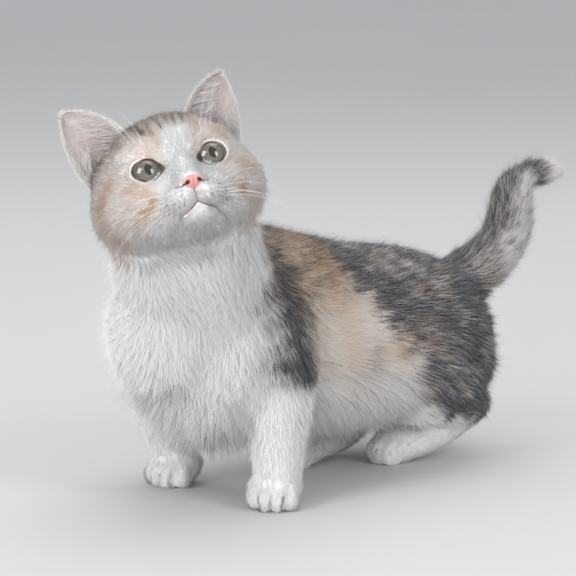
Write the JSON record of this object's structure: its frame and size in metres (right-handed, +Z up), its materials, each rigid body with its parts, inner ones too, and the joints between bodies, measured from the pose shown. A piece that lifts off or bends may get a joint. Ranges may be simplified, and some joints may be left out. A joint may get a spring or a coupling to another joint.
{
  "type": "munchkin kitten",
  "caption": "Life-size standing short-legged kitten, head turned up to its left and tail raised, divided into head, neck, trunk, tail and limbs.",
  "frame": {"origin": "middle of the whole model's box at the level of the floor that the paws stand on", "axes": "+Z up, -Y the way the kitten's body faces, +X towards its left side"},
  "size_m": [0.108, 0.286, 0.1943],
  "materials": {
    "coat_face": "short plush fur, cream and white with ginger stripes",
    "coat_white": "soft white fur",
    "coat_ginger": "plush fur, pale ginger and cream with dark ticking",
    "coat_tabby": "plush fur, grey and black ticked tabby",
    "coat_tail": "fluffy fur, grey with dark bands",
    "ear_skin": "thin skin with fine pale hair inside and short dark hair behind",
    "eye": "moist, grey-green iris and black pupil"
  },
  "bodies": {
    "root": {"head": "coat_face", "eye_left": "eye", "eye_right": "eye", "ear_left": "ear_skin", "ear_right": "ear_skin", "neck": "coat_white", "chest": "coat_white", "belly": "coat_ginger", "rump": "coat_tabby", "tail_root": "coat_tail", "tail_middle": "coat_tail", "tail_tip": "coat_tail", "foreleg_left": "coat_white", "foreleg_right": "coat_white", "forepaw_left": "coat_white", "forepaw_right": "coat_white", "hind_leg_left": "coat_tabby", "hind_leg_right": "coat_tabby", "hind_foot_left": "coat_white", "hind_foot_right": "coat_white"}
  },
  "joints": []
}
